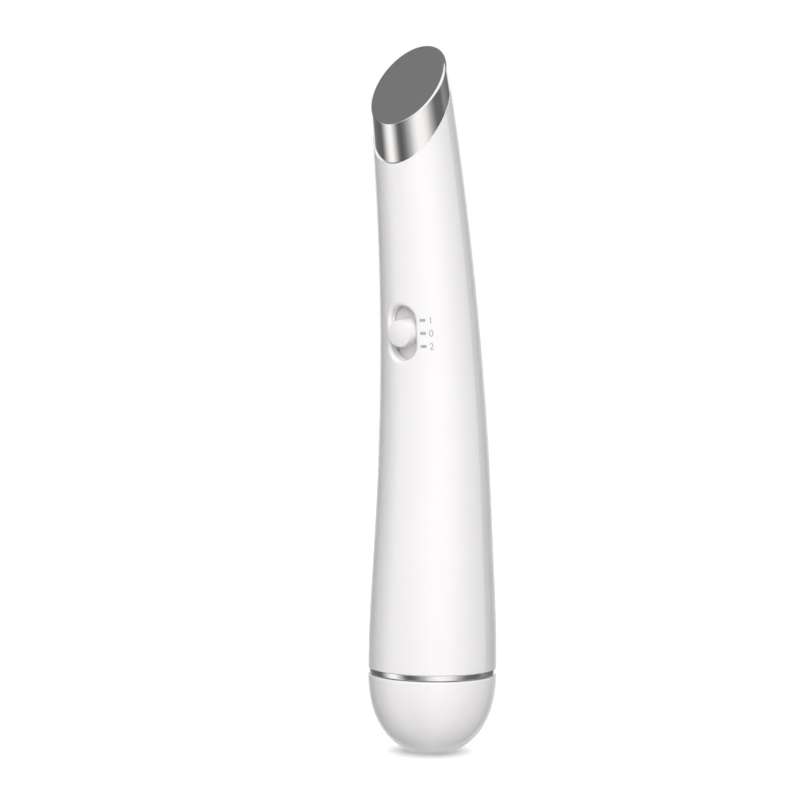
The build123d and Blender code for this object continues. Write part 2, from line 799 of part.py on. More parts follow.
spring_low = liner_seat + sheet + touch + spring_wire / 2
coil_height = spring_height - spring_wire
coil_cone = degrees(atan((spring_tip_radius - spring_foot_radius) / coil_height))
with BuildPart() as negative_spring:
    with BuildLine():
        coil = Helix(
            pitch=coil_height / spring_turns,
            height=coil_height,
            radius=spring_foot_radius,
            center=(0, 0, spring_low),
            cone_angle=coil_cone,
        )
    with BuildSketch(Plane(coil @ 0, z_dir=coil % 0)):
        Circle(spring_wire / 2)
    sweep(is_frenet=True)
negative_spring.part.label = "negative_spring"
export_step(negative_spring.part, "parts/negative_spring.step")

cell_low = spring_low + coil_height + spring_wire / 2 + touch
cell_high = cell_low + cell_length
with BuildPart() as battery:
    with BuildSketch(Plane.XY.offset(cell_low)):
        Circle(cell_radius)
    extrude(amount=cell_length - nub_height)
    fillet(battery.edges().filter_by(GeomType.CIRCLE), cell_round)
    with BuildSketch(Plane.XY.offset(cell_high - nub_height)):
        Circle(nub_radius)
    extrude(amount=nub_height)
    fillet(battery.edges().group_by(Axis.Z)[-1], nub_round)
battery.part.label = "battery"
export_step(battery.part, "parts/battery.step")

contact_low = cell_high + touch
tab_side = contact_tab_inset - contact_radius
with BuildPart() as positive_contact:
    with BuildSketch(Plane.XY.offset(contact_low)):
        Circle(contact_radius)
    extrude(amount=sheet)
    with BuildSketch(Plane.XY.offset(contact_low)):
        with Locations((tab_side, 0)):
            Rectangle(sheet, contact_tab_width)
    extrude(amount=contact_tab_height)
positive_contact.part.label = "positive_contact"
export_step(positive_contact.part, "parts/positive_contact.step")

tube_end = contact_low + sheet + touch
tube_top = tube_end + tube_wall
mouth = cap_height - mouth_depth
neck_low = cap_height - neck_depth
oring_height = cap_height - oring_drop
flange_radius = barrel_radius - wall - fit
strip_slot = finger_width + 2 * fit
tube_rib_reach = body_radius(tube_top) - wall - 3 * fit
with BuildPart() as battery_tube:
    with BuildSketch(Plane.XY.offset(mouth)):
        Circle(tube_outer)
    extrude(amount=tube_top - mouth)
    with BuildSketch(Plane.XY.offset(neck_low)):
        Circle(neck_radius)
        Circle(neck_inner, mode=Mode.SUBTRACT)
    extrude(amount=ring_top - neck_low)
    with BuildSketch(Plane.XY.offset(ring_top)):
        Circle(flange_radius)
    extrude(amount=tube_wall)
    with BuildSketch(Plane.XY.offset(ring_top)):
        Circle(flange_radius)
        Circle(flange_radius - tube_wall, mode=Mode.SUBTRACT)
    extrude(amount=seat_height)
    with BuildSketch(Plane.XY.offset(tube_top - tube_rib_height)):
        with PolarLocations(0, 4, start_angle=45):
            Rectangle(tube_rib_reach, rib_width, align=(Align.MIN, Align.CENTER))
    extrude(amount=tube_rib_height)
    with BuildSketch(Plane.XY.offset(mouth)):
        Circle(tube_inner)
    extrude(amount=tube_end - mouth, mode=Mode.SUBTRACT)
    with BuildSketch(Plane.XY.offset(tube_end)):
        with Locations((tab_side, 0)):
            Rectangle(sheet + 2 * fit, contact_tab_width + 2 * fit)
    extrude(amount=tube_wall, mode=Mode.SUBTRACT)
    with BuildSketch(Plane.XY.offset(neck_low)):
        with Locations((0, strip_back + sheet / 2)):
            Rectangle(strip_slot, sheet + 2 * fit)
    extrude(amount=tube_top - neck_low, mode=Mode.SUBTRACT)
    with BuildSketch(Plane.XZ):
        with Locations((neck_radius, oring_height)):
            Rectangle(2 * oring_groove, oring_section + 2 * fit)
    revolve(axis=Axis.Z, mode=Mode.SUBTRACT)
battery_tube.part.label = "battery_tube"
export_step(battery_tube.part, "parts/battery_tube.step")

with BuildPart() as contact_strip:
    with BuildSketch(Plane.XY.offset(mouth)):
        with Locations((0, strip_back + sheet / 2)):
            Rectangle(finger_width, sheet)
    extrude(amount=tube_top + strip_reach - mouth)
contact_strip.part.label = "contact_strip"
export_step(contact_strip.part, "parts/contact_strip.step")

groove_floor = neck_radius - oring_groove
oring_squeezed = (liner_bore - groove_floor) / 2 - touch
with BuildPart() as o_ring:
    with BuildSketch(Plane.XZ):
        with Locations(((liner_bore + groove_floor) / 2, oring_height)):
            Ellipse(oring_squeezed, oring_section / 2)
    revolve(axis=Axis.Z)
o_ring.part.label = "o_ring"
export_step(o_ring.part, "parts/o_ring.step")

with BuildPart() as trim_ring:
    with BuildSketch(Plane.XY.offset(cap_height + ring_gap)):
        Circle(barrel_radius - ring_recess)
    extrude(amount=ring_height - ring_gap - touch)
    fillet(trim_ring.edges(), ring_round)
    with BuildSketch(Plane.XY.offset(cap_height)):
        Circle(neck_radius + touch)
    extrude(amount=ring_height, mode=Mode.SUBTRACT)
trim_ring.part.label = "trim_ring"
export_step(trim_ring.part, "parts/trim_ring.step")

# ------------------------------------------------------------------------ wires
def lead(points, name):
    """Insulated lead along straight runs and wide bends."""
    runs = [(after - before).length for before, after in zip(points, points[1:])]
    turns = [
        (middle - before).get_angle(after - middle)
        for before, middle, after in zip(points, points[1:], points[2:])
    ]
    radii = [
        0.45 * min(first, second) / tan(radians(turn) / 2)
        for first, second, turn in zip(runs, runs[1:], turns)
    ]
    with BuildPart() as wire:
        with BuildLine():
            route = FilletPolyline(*points, radius=radii)
        with BuildSketch(Plane(route @ 0, z_dir=route % 0)):
            Circle(wire_radius)
        sweep()
    print(name, "length", round(route.length, 1), "bends", [round(radius, 1) for radius in radii])
    return wire.part


def spot(station, side, back):
    """Point beside the axis at a station."""
    return across(station).from_local_coords(Vector(side, back, 0))


def board_spot(side, up, gap=wire_radius + touch):
    """Point just behind the circuit board."""
    return switch_plane.from_local_coords(Vector(side, up, board_back - gap))


board_end = board_length / 2
motor_end = motor_station + motor_length
heater_drop = (heater_low + wire_radius) / cos(radians(disc_tilt) - lean(head_station))
heater_slope = tan(radians(disc_tilt) - lean(head_station))
heater_lead_top = head_station + disc_lift - heater_drop + heater_lead_back * heater_slope - heater_lead_gap
heater_route = [
    board_spot(board_lead_side, board_end - lead_overlap),
    board_spot(board_lead_side, board_end + lead_rise),
    spot(motor_station, motor_lead_side, motor_lead_back),
    spot(motor_end - heater_lead_bend, motor_lead_side - fit, motor_lead_back + heater_lead_bow),
    spot(motor_end + heater_lead_turn, heater_lead_side, heater_lead_back + 2 * fit),
    spot(heater_lead_top, heater_lead_side, heater_lead_back),
]
with BuildPart() as heater_leads:
    add(lead(heater_route, "heater lead"))
    mirror(about=Plane.YZ)
heater_leads.part.label = "heater_leads"
export_step(heater_leads.part, "parts/heater_leads.step")

motor_lead_end = motor_station - motor_tab_reach - fit
motor_route = [
    board_spot(motor_tab_spacing / 2, board_end - motor_lead_overlap),
    board_spot(motor_tab_spacing / 2 + touch, board_end + motor_lead_rise),
    spot(motor_lead_end, motor_tab_spacing / 2, 0),
]
with BuildPart() as motor_leads:
    add(lead(motor_route, "motor lead"))
    mirror(about=Plane.YZ)
motor_leads.part.label = "motor_leads"
export_step(motor_leads.part, "parts/motor_leads.step")

lead_off = wire_radius + touch
strip_side = strip_back - lead_off
contact_side = tab_side - sheet / 2 - lead_off
negative_route = [
    Vector(strip_lead_side, strip_side, tube_top + lead_start),
    Vector(strip_lead_side + 2 * fit, strip_side - fit, tube_top + strip_lead_rise),
    board_spot(battery_lead_side, -board_end - strip_lead_drop),
    board_spot(battery_lead_side, lead_overlap - board_end),
]
positive_route = [
    Vector(contact_side, 0, tube_top + lead_start),
    Vector(contact_side, -contact_lead_bow, tube_top + contact_lead_rise),
    board_spot(-battery_lead_side, -board_end - contact_lead_drop),
    board_spot(-battery_lead_side, lead_overlap - board_end),
]
with BuildPart() as battery_leads:
    add(lead(negative_route, "negative lead"))
    add(lead(positive_route, "positive lead"))
battery_leads.part.label = "battery_leads"
export_step(battery_leads.part, "parts/battery_leads.step")
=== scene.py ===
import math

import bmesh
import bpy
from mathutils import Matrix, Vector


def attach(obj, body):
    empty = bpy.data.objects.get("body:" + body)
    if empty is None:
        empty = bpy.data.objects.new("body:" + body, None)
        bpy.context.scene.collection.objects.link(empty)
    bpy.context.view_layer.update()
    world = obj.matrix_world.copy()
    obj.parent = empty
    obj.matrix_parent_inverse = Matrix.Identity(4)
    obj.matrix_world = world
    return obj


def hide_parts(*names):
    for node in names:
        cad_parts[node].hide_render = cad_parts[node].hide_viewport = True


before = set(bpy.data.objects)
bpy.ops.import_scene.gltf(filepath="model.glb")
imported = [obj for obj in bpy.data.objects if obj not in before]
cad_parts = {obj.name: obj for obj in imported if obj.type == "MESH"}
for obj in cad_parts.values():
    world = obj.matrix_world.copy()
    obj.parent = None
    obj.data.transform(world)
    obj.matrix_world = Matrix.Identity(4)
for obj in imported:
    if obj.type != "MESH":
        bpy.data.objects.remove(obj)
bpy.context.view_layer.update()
MM = 0.001

# ---------------------------------------------------------------- circuit board
# A glass-epoxy board with a green solder mask. It is screwed to the inner frame and
# carries the switch, the driver chip and a few small parts.


def linear_colour(hex_colour):
    """sRGB hex to the linear colour that a shader takes."""
    channels = [int(hex_colour[i:i + 2], 16) / 255 for i in (1, 3, 5)]
    return [c / 12.92 if c <= 0.04045 else ((c + 0.055) / 1.055) ** 2.4 for c in channels] + [1.0]


def bare(owner):
    """Empties the node tree of a new material or world."""
    owner.use_nodes = True
    owner.node_tree.nodes.clear()
    return owner


def add_node(owner, kind, settings=None, numbered=None, **named):
    """Adds a shader node. Its inputs, by number or by name, take values or other nodes' outputs."""
    node = owner.node_tree.nodes.new(kind)
    for name, value in (settings or {}).items():
        setattr(node, name, value)
    inputs = {name.replace("_", " "): value for name, value in named.items()} | (numbered or {})
    for key, value in inputs.items():
        if isinstance(value, bpy.types.NodeSocket):
            owner.node_tree.links.new(value, node.inputs[key])
        else:
            node.inputs[key].default_value = value
    return node


# How far a grain makes the gloss uneven, as a share of the roughness.
gloss_spread = 0.15


def grained(name, light, dark, grain, relief, roughness, **constants):
    """A surface with a fine grain, its spacing and depth in mm: two close colours, uneven gloss."""
    material = bare(bpy.data.materials.new(name))
    place = add_node(material, "ShaderNodeTexCoord")
    noise = add_node(
        material, "ShaderNodeTexNoise", Vector=place.outputs["Object"],
        Scale=1 / (grain * MM), Detail=3.0, Roughness=0.55,
    )
    tint = add_node(
        material, "ShaderNodeMix", {"data_type": "RGBA"},
        {0: noise.outputs["Fac"], 6: linear_colour(dark), 7: linear_colour(light)},
    )
    gloss = add_node(
        material, "ShaderNodeMapRange", Value=noise.outputs["Fac"],
        To_Min=roughness * (1 - gloss_spread), To_Max=roughness * (1 + gloss_spread),
    )
    bump = add_node(
        material, "ShaderNodeBump", Height=noise.outputs["Fac"], Strength=1.0, Distance=relief * MM,
    )
    shader = add_node(
        material, "ShaderNodeBsdfPrincipled", Base_Color=tint.outputs[2],
        Roughness=gloss.outputs["Result"], Normal=bump.outputs["Normal"], **constants,
    )
    add_node(material, "ShaderNodeOutputMaterial", Surface=shader.outputs["BSDF"])
    return material


def dress(material, *names):
    """Gives carried-over pieces their finish."""
    for name in names:
        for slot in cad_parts[name].material_slots:
            slot.material = material


# Solder mask: a hard green film over woven glass, smooth with a faint weave.
solder_mask = grained("solder_mask", "#1C6A3C", "#14532D", 0.8, 0.004, 0.35, IOR=1.5)
# Moulding compound: black epoxy with a matt, slightly grey skin.
moulding_compound = grained("moulding_compound", "#26262A", "#17171A", 0.3, 0.006, 0.55, IOR=1.5)
# Capacitor sleeve: shrunk dark film with a soft shine.
capacitor_sleeve = grained("capacitor_sleeve", "#2B3450", "#202840", 0.6, 0.003, 0.35, IOR=1.5)
dress(solder_mask, "circuit_board")
dress(moulding_compound, "driver_chip", "boost_coil", "resistors")
dress(capacitor_sleeve, "capacitor")

# ------------------------------------------------------------- inner frame, screws
# A plain moulded trough behind the board, with the two cross-slotted screws in it.
# Plain ABS: off-white as it leaves the mould, with a dull, faintly grained skin.
plain_abs = grained("plain_abs", "#E4E3DF", "#D8D7D2", 0.5, 0.006, 0.5, IOR=1.52)
# Nickel plate: a warm pale metal, fairly bright, with faint drawing marks.
nickel_plate = grained("nickel_plate", "#C9C6BF", "#BAB7AF", 0.4, 0.001, 0.24, Metallic=1.0)
dress(plain_abs, "inner_frame")
dress(nickel_plate, "board_screws")

# ------------------------------------------------------------------ slide switch
# A stamped can over a black nylon base, four tinned pins, and a nylon post that the
# knob is pressed on. The shutter plate slides behind the slot and closes it.
# Black nylon: dark and dull, with a fine moulded grain.
black_nylon = grained("black_nylon", "#2A2A2C", "#1C1C1E", 0.4, 0.005, 0.5, IOR=1.53)
# Tin plate: a soft silvery coat on the brass pins.
tin_plate = grained("tin_plate", "#D2CFC8", "#C0BCB2", 0.4, 0.001, 0.3, Metallic=1.0)
# Shutter nylon: palest grey and dull, so that the knob stands out before it.
shutter_nylon = grained("shutter_nylon", "#ECEAEA", "#E6E4E4", 0.5, 0.004, 0.42, IOR=1.5)
dress(black_nylon, "switch_base", "switch_actuator", "motor_end_cap")
dress(tin_plate, "switch_terminals")
dress(nickel_plate, "switch_can")
dress(shutter_nylon, "shutter_plate")

# --------------------------------------------------------------- vibration motor
# A 6 mm can motor with an off-centre sintered weight, held by a soft silicone boot
# inside a ribbed ring.
# Silicone rubber: soft and black, with hardly any shine.
silicone_rubber = grained("silicone_rubber", "#2A2A2B", "#1F1F20", 0.5, 0.01, 0.6, IOR=1.42)
# Sintered bronze: pressed metal powder, golden brown with tiny pores.
sintered_bronze = grained("sintered_bronze", "#B78A4E", "#96703C", 0.15, 0.01, 0.45, Metallic=1.0)
# Sintered weight: pressed heavy-metal powder, mid grey and grainy.
sintered_weight = grained("sintered_weight", "#8E8E90", "#747476", 0.15, 0.01, 0.42, Metallic=1.0)
dress(nickel_plate, "motor_can", "motor_rotor")
dress(sintered_bronze, "motor_bush")
dress(sintered_weight, "eccentric_weight")
dress(silicone_rubber, "motor_boot")
dress(plain_abs, "motor_holder")

# ------------------------------------------------------------------------- heater
# A white ceramic heater behind a soft grey pad, a bead thermistor, and the off-white
# heat-proof collar that carries them in the head.
# Alumina: fired ceramic, off-white and matt.
alumina = grained("alumina", "#E9E5DA", "#DDD8CC", 0.3, 0.006, 0.6, IOR=1.7)
# Thermal silicone: filled rubber, chalky blue-grey without shine.
thermal_silicone = grained("thermal_silicone", "#9AA3A8", "#8A9398", 0.5, 0.01, 0.65, IOR=1.42)
# Heat-proof PBT: cream moulding with a fine, dull grain.
heatproof_pbt = grained("heatproof_pbt", "#DCD8C8", "#D0CCBB", 0.5, 0.006, 0.5, IOR=1.55)
dress(alumina, "heater_plate")
dress(thermal_silicone, "thermal_pad")
dress(heatproof_pbt, "head_collar")
dress(moulding_compound, "thermistor")

# -------------------------------------------------------------------------- leads
# Thin stranded leads, soldered at both ends: white to the heater, blue to the motor
# and red to the cell's contacts.
# Lead insulation: smooth silicone with a soft shine.
white_insulation = grained("white_insulation", "#E8E8E6", "#DCDCDA", 0.6, 0.003, 0.4, IOR=1.42)
blue_insulation = grained("blue_insulation", "#2B4BA8", "#203C8E", 0.6, 0.003, 0.4, IOR=1.42)
red_insulation = grained("red_insulation", "#B3261E", "#981D17", 0.6, 0.003, 0.4, IOR=1.42)
dress(white_insulation, "heater_leads")
dress(blue_insulation, "motor_leads")
dress(red_insulation, "battery_leads")

# --------------------------------------------------------- cell tube and contacts
# A moulded tube with the neck that the base cap slides over, the stamped contacts
# and the strip that carries the cell's negative side up past the tube.
crease_angle = math.radians(35)
merge_distance = 0.002 * MM
sliver_length = 0.001 * MM


def new_object(name, data):
    """Puts an object with its data into the scene."""
    made = bpy.data.objects.new(name, data)
    bpy.context.scene.collection.objects.link(made)
    return made


def mesh_object(name, mesh):
    """Turns a finished bmesh into an object."""
    data = bpy.data.meshes.new(name)
    mesh.to_mesh(data)
    mesh.free()
    return new_object(name, data)


def shade_round(mesh, crease=crease_angle):
    """Shades a mesh round, apart from its open edges and those sharper than the crease."""
    for face in mesh.faces:
        face.smooth = True
    for edge in mesh.edges:
        edge.smooth = len(edge.link_faces) == 2 and edge.calc_face_angle(0) < crease


def finish(piece, material, body, node=None):
    """Gives a new piece its material, the body it rides on and the node it stands for."""
    piece.data.materials.clear()
    piece.data.materials.append(material)
    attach(piece, body)
    if node:
        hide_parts(node)


def smooth_copy(node, body, material, crease=crease_angle):
    """A copy of a carried-over piece, with its faces joined up and shaded round."""
    mesh = bmesh.new()
    mesh.from_mesh(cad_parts[node].data)
    bmesh.ops.remove_doubles(mesh, verts=mesh.verts, dist=merge_distance)
    bmesh.ops.dissolve_degenerate(mesh, edges=mesh.edges, dist=sliver_length)
    shade_round(mesh, crease)
    piece = mesh_object(node + "_piece", mesh)
    finish(piece, material, body, node)
    return piece


smooth_copy("battery_tube", "handle", plain_abs)
smooth_copy("contact_strip", "handle", nickel_plate)
smooth_copy("positive_contact", "handle", nickel_plate)
smooth_copy("o_ring", "handle", silicone_rubber)

# --------------------------------------------------------------------------- cell
# One AAA cell: a nickel-plated steel can in a plain shrink sleeve, which leaves its
# ends bare. It lies in the tube with its raised end up.
bare_end_radius = 4.6 * MM
# Cell sleeve: shrunk blue-grey film, tight and glossy.
cell_film = grained("cell_film", "#41527A", "#3A4A6E", 3.0, 0.002, 0.3, IOR=1.5)
cell = smooth_copy("battery", "cell", cell_film)
cell.data.materials.append(nickel_plate)
for face in cell.data.polygons:
    if math.hypot(face.center.x, face.center.y) < bare_end_radius:
        face.material_index = 1

# ----------------------------------------------------------------- handle shells
# Two injection-moulded ABS halves, polished to a high gloss. They meet in a fine
# line along both sides, and the front one has the stadium slot for the switch.
# Stations are lengths up the bowed axis, and tapers are slopes.
straight_length = 43.9 * MM
bend_radius = 385.0 * MM
barrel_radius = 12.495 * MM
ring_top = 16.5 * MM
shoulder_length = 14.0 * MM
shoulder_taper = 0.0535
neck_taper = 0.036
neck_station = 126.0 * MM
wall = 1.5 * MM
seam_gap = 0.03 * MM
edge_round = 0.04 * MM
head_station = 129.5 * MM
edge_drop = 5.24 * MM
edge_tilt = math.radians(57.6)
switch_station = 82.5 * MM
slot_half_width = 2.9 * MM
slot_half_straight = 2.42 * MM
slot_rim = 0.8 * MM
shutter_depth = 2.7 * MM
shutter_gap = 0.3 * MM
window_half_width = 4.6 * MM
window_half_height = 7.2 * MM
steps_to_slot = 6
steps_round_rim = 10
sheet_columns, sheet_rows = 144, 220
sheet_overrun = 10 * MM


def lean(station):
    """Angle of the handle's axis from upright at a station, a length up the axis."""
    return max(station - straight_length, 0) / bend_radius


def axis_point(station):
    """Point of the bowed axis."""
    bend = lean(station)
    rise = min(station, straight_length) + bend_radius * math.sin(bend)
    return Vector((0, -bend_radius * (1 - math.cos(bend)), rise))


def body_radius(station):
    """Outer radius: a rounded shoulder above the ring, then a taper that eases off."""
    along = max(station - ring_top, 0)
    if along < shoulder_length:
        return barrel_radius - shoulder_taper * along**2 / (2 * shoulder_length)
    past = along - shoulder_length
    ease = (shoulder_taper - neck_taper) / (2 * (neck_station - ring_top - shoulder_length))
    return barrel_radius - shoulder_taper * (shoulder_length / 2 + past) + ease * past**2


def on_handle(angle, station, depth=0.0):
    """Point at an angle round from the front, a station up the axis, and a depth under the skin."""
    bend = lean(station)
    radius = body_radius(station) - depth
    side = Vector((radius * math.sin(angle), 0, 0))
    back = Vector((0, math.cos(bend), math.sin(bend)))
    return axis_point(station) + side - back * radius * math.cos(angle)


def tilted(station, lift, tilt):
    """Origin and normal of a plane that leans forward, placed along the axis from a station."""
    bend = lean(station)
    up = Vector((0, -math.sin(bend), math.cos(bend)))
    return axis_point(station) + up * lift, Vector((0, -math.sin(tilt), math.cos(tilt)))


def shell_sheet(middle):
    """Half of the handle's skin as a flat sheet: x is the angle, y the station, z the depth."""
    top_station = head_station + sheet_overrun
    half_angle = math.pi / 2 - (seam_gap / 2 if middle else 0) / barrel_radius
    sheet = bmesh.new()
    bmesh.ops.create_grid(sheet, x_segments=sheet_columns, y_segments=sheet_rows, size=1.0)
    for vertex in sheet.verts:
        share = (vertex.co.y + 1) / 2
        vertex.co = (
            middle + vertex.co.x * half_angle,
            ring_top + share * (top_station - ring_top),
            0,
        )
    return sheet


def slot_outline(vertex, half_width, depth):
    """Moves a vertex of the flat sheet straight out from the slot's middle line to its outline."""
    radius = body_radius(vertex.co.y)
    across = radius * math.sin(vertex.co.x)
    along = vertex.co.y - switch_station
    centre = max(-slot_half_straight, min(slot_half_straight, along))
    away = Vector((across, along - centre)).normalized() * half_width
    station = switch_station + centre + away.y
    return Vector((math.asin(away.x / (body_radius(station) - depth)), station, depth))


def shell_piece(node, sheet, material):
    """Wraps a flat sheet round the handle, cuts it at the head and gives it its wall."""
    for vertex in sheet.verts:
        vertex.co = on_handle(*vertex.co)
    origin, normal = tilted(head_station, -edge_drop, edge_tilt)
    geometry = list(sheet.verts) + list(sheet.edges) + list(sheet.faces)
    bmesh.ops.bisect_plane(
        sheet, geom=geometry, dist=sliver_length, plane_co=origin, plane_no=normal,
        clear_outer=True,
    )
    bmesh.ops.recalc_face_normals(sheet, faces=sheet.faces)
    first = sheet.faces[:][0]
    if first.normal.dot(first.calc_center_median() - axis_point(ring_top)) < 0:
        bmesh.ops.reverse_faces(sheet, faces=sheet.faces)
    for face in sheet.faces:
        face.smooth = True
    piece = mesh_object(node + "_piece", sheet)
    thicken = piece.modifiers.new("wall", "SOLIDIFY")
    thicken.thickness = wall
    thicken.offset = -1
    thicken.use_even_offset = True
    soften = piece.modifiers.new("edges", "BEVEL")
    soften.width = edge_round
    soften.segments = 3
    soften.limit_method = "ANGLE"
    soften.angle_limit = math.radians(50)
    soften.harden_normals = True
    finish(piece, material, "handle", node)


# Polished ABS: bright white with a clear gloss and the faint waviness of a moulding.
gloss_abs = grained("gloss_abs", "#F8F6F6", "#F5F3F3", 6.0, 0.004, 0.16, IOR=1.5)
# Rear ABS: the same moulding, painted a tone greyer as painted shade on the half away from the key
# lamp, and a little softer in gloss.
painted_shade_rear_abs = grained("painted_shade_rear_abs", "#EBE9E9", "#E8E6E6", 6.0, 0.004, 0.2, IOR=1.5)

# The rear half takes the greyer copy of the gloss, as painted shade.
shell_piece("rear_shell", shell_sheet(math.pi), painted_shade_rear_abs)

# A window is cut in the front sheet, and its edge is drawn in to the slot's outline,
# over the slot's rounded rim and down its wall.
front_sheet = shell_sheet(0.0)
window_angle = math.asin(window_half_width / body_radius(switch_station))
window = [
    face for face in front_sheet.faces
    if abs(face.calc_center_median().x) < window_angle
    and abs(face.calc_center_median().y - switch_station) < window_half_height
]
sheet_sides = {edge for edge in front_sheet.edges if edge.is_boundary}
bmesh.ops.delete(front_sheet, geom=window, context="FACES")
rim = [edge for edge in front_sheet.edges if edge.is_boundary and edge not in sheet_sides]


def draw_in(edges, target):
    """Draws a ring of new faces in from an open edge and moves its new edge to a target."""
    made = bmesh.ops.extrude_edge_only(front_sheet, edges=edges)["geom"]
    for vertex in (item for item in made if isinstance(item, bmesh.types.BMVert)):
        vertex.co = target(vertex)
    return [item for item in made if isinstance(item, bmesh.types.BMEdge) and item.is_boundary]


for step in range(1, steps_to_slot + 1):
    share = 1 / (steps_to_slot + 1 - step)
    rim = draw_in(rim, lambda vertex: vertex.co.lerp(
        slot_outline(vertex, slot_half_width + slot_rim, 0), share))
for step in range(1, steps_round_rim + 1):
    turn = math.pi / 2 * step / steps_round_rim
    width = slot_half_width + slot_rim * (1 - math.sin(turn))
    depth = slot_rim * (1 - math.cos(turn))
    rim = draw_in(rim, lambda vertex: slot_outline(vertex, width, depth))
slot_floor = body_radius(switch_station) - shutter_depth + shutter_gap


def to_floor(vertex):
    """Moves a vertex down the slot's wall to the level just above the shutter."""
    radius = body_radius(vertex.co.y)
    across = (radius - vertex.co.z) * math.sin(vertex.co.x)
    reach = math.hypot(across, slot_floor)
    return Vector((math.asin(across / reach), vertex.co.y, radius - reach))


rim = draw_in(rim, to_floor)
shell_piece("front_shell", front_sheet, gloss_abs)

# ----------------------------------------------------------------- massage head
# A drawn metal cap with a mirror-polished skirt. Its slanted face is blasted to an
# even satin grey, with a rounded, polished rim between the two.
head_radius = body_radius(head_station) - 0.12 * MM
head_flare = 0.17 * MM
disc_lift = 0.5 * MM
disc_tilt = math.radians(53.7)
head_wall = 0.9 * MM
head_rim_round = 0.5 * MM
skirt_tuck = 0.35 * MM
skirt_spread = 0.09 * MM
disc_inset = 0.3 * MM
# The blasting takes in what leans less than about 10 degrees from the disc.
satin_cosine = 0.985
weld_distance = 0.0005 * MM
steps_round_head = 10
head_segments = 192

# Mirror chrome: bright and almost colourless, with faint lines left by the polishing mop.
mirror_chrome = grained("mirror_chrome", "#FBF9F8", "#F8F6F5", 1.5, 0.0003, 0.05, Metallic=1.0)
# Satin face: bead-blasted steel, an even mid grey that hardly mirrors anything.
satin_face = grained("satin_face", "#C1C0BF", "#BAB8B8", 0.2, 0.002, 0.42, Metallic=0.9)

disc_origin, disc_normal = tilted(head_station, disc_lift, disc_tilt)
edge_origin, edge_normal = tilted(head_station, -edge_drop, edge_tilt)
head_origin, head_axis = tilted(head_station, 0, lean(head_station))
head_slope = head_flare / (edge_drop + disc_lift)


def on_head(angle, row):
    """Point of the head's skin: row 0 is its open edge, row 1 its skirt's top, then the rim."""
    back = head_axis.cross(Vector((1, 0, 0)))
    sideways = Vector((math.sin(angle), 0, 0)) - back * math.cos(angle)
    along = head_axis - sideways * head_slope
    root = head_origin + sideways * head_radius
    if row == 0:
        drop = (edge_origin - root).dot(edge_normal) / along.dot(edge_normal) - skirt_tuck
        return root + along * drop + sideways * skirt_spread
    skirt_normal = (sideways + head_axis * head_slope).normalized()
    inner = root - skirt_normal * head_rim_round
    rise = (disc_origin - disc_normal * head_rim_round - inner).dot(disc_normal)
    middle = inner + along * (rise / along.dot(disc_normal))
    share = (row - 1) / steps_round_head
    return middle + skirt_normal.slerp(disc_normal, share) * head_rim_round


head = bmesh.new()
bmesh.ops.create_grid(
    head, x_segments=head_segments, y_segments=steps_round_head + 1, size=1.0,
)
for vertex in head.verts:
    row = round((vertex.co.y + 1) / 2 * (steps_round_head + 1))
    vertex.co = on_head(math.pi * vertex.co.x, row)
bmesh.ops.remove_doubles(head, verts=head.verts, dist=weld_distance)
crown = [
    edge for edge in head.edges
    if edge.is_boundary and abs((edge.verts[0].co - disc_origin).dot(disc_normal)) < 0.01 * MM
]
disc = bmesh.ops.contextual_create(head, geom=crown)["faces"]
bmesh.ops.recalc_face_normals(head, faces=head.faces)
bmesh.ops.inset_region(head, faces=disc, thickness=disc_inset)
for face in head.faces:
    face.smooth = True
for edge in head.edges:
    edge.smooth = not edge.is_boundary
head_piece = mesh_object("massage_head_piece", head)
thicken = head_piece.modifiers.new("wall", "SOLIDIFY")
thicken.thickness = head_wall
thicken.offset = -1
finish(head_piece, mirror_chrome, "handle", "massage_head")
head_piece.data.materials.append(satin_face)
for face in head_piece.data.polygons:
    if face.normal.dot(disc_normal) > satin_cosine:
        face.material_index = 1

# -------------------------------------------------------------------- trim ring
# A thin turned ring, chrome plated. It is pressed on the cell tube's neck, between the
# handle and the base cap and a little in from both.
cap_height = 15.2 * MM
ring_low = cap_height + 0.2 * MM
ring_high = ring_top - 0.04 * MM
ring_radius = barrel_radius - 0.1 * MM
ring_bore = 9.43 * MM
ring_round = 0.12 * MM
turned_segments = 192


def turned(node, corners, rounding, material, body):
    """A turned piece: an outline of (radius, height) corners, spun about the handle's axis."""
    outline = bmesh.new()
    points = [outline.verts.new((radius, 0, height)) for radius, height in corners]
    for pair in zip(points, points[1:] + points[:1]):
        outline.edges.new(pair)
    if rounding:
        bmesh.ops.bevel(
            outline, geom=points, offset=rounding, affect="VERTICES",
            segments=4, profile=0.5, material=-1,
        )
    bmesh.ops.spin(
        outline, geom=list(outline.verts) + list(outline.edges), cent=(0, 0, 0), axis=(0, 0, 1),
        angle=2 * math.pi, steps=turned_segments, use_merge=True,
    )
    bmesh.ops.remove_doubles(outline, verts=outline.verts, dist=sliver_length)
    bmesh.ops.recalc_face_normals(outline, faces=outline.faces)
    shade_round(outline)
    finish(mesh_object(node + "_piece", outline), material, body, node)


ring_corners = [
    (ring_bore, ring_low), (ring_radius, ring_low),
    (ring_radius, ring_high), (ring_bore, ring_high),
]
turned("trim_ring", ring_corners, ring_round, mirror_chrome, "handle")

# --------------------------------------------------------------------- base cap
# An egg-shaped moulded cap with a small flat foot. It carries a plain liner cup, a
# stamped plate and the conical negative spring.
cap_full_depth = 15.9 * MM
cap_roundness = 2.2
cap_wall = 1.4 * MM
cap_edge = 0.25 * MM
steps_down_egg = 40
steps_round_lip = 4
coil_crease = math.radians(80)


